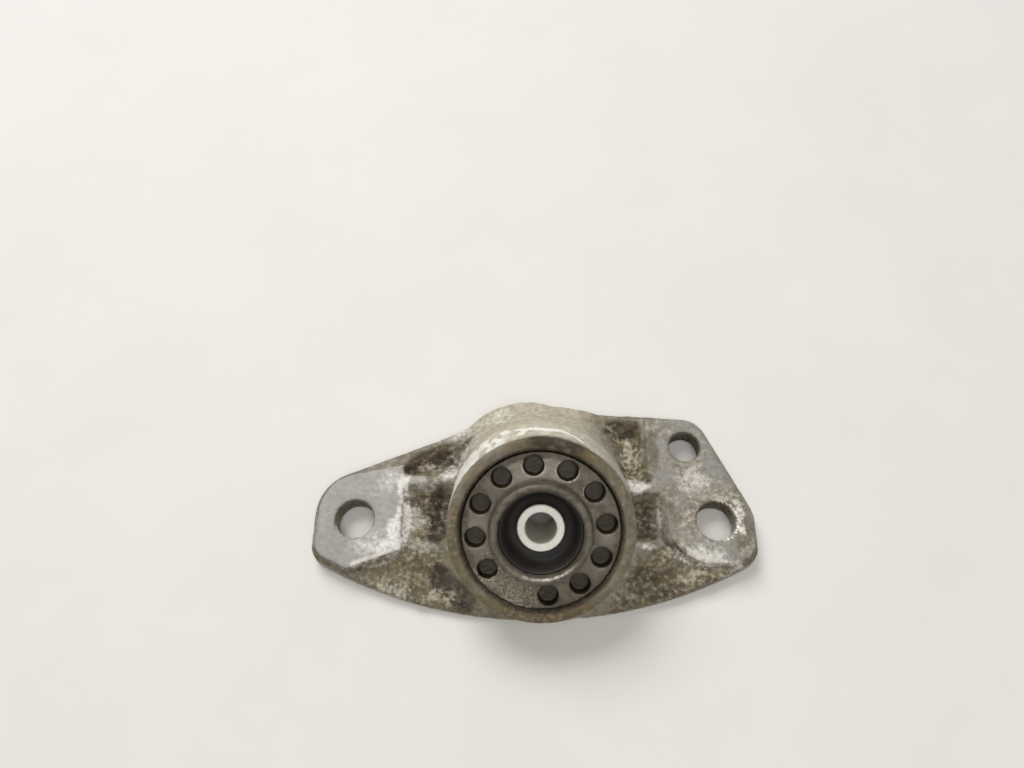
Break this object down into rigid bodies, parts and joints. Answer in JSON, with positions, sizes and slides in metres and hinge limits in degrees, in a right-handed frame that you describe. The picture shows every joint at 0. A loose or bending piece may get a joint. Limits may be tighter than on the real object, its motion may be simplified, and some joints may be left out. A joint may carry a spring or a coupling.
{
  "type": "shock absorber bracket",
  "caption": "Cast light-alloy top mount for a rear shock absorber: a flange with bolt lugs and a leaning cup that holds a rubber bush with a steel sleeve behind a pocketed closing ring.",
  "frame": {"origin": "midway between the bolt holes of the two end lugs, on the flat mounting face", "axes": "+X runs along the flange through the two end bolt holes, to the lug that also has the third hole; +Z is the normal of the mounting face, to the side of the cup; +Y is the direction from which the cup leans away, so its mouth points along (0, -0.5, 0.866)"},
  "size_m": [0.1564, 0.0811, 0.0472],
  "materials": {
    "casting": "die-cast light alloy, oxidised, with dried road dirt",
    "ring": "pressed-in light-alloy ring, dull and dirty, with bright nicks",
    "rubber": "moulded black rubber, dull",
    "sleeve": "turned steel, bright at its end face"
  },
  "bodies": {
    "root": {"housing": "casting", "closing_ring": "ring", "rubber_bush": "rubber", "inner_sleeve": "sleeve"}
  },
  "joints": []
}
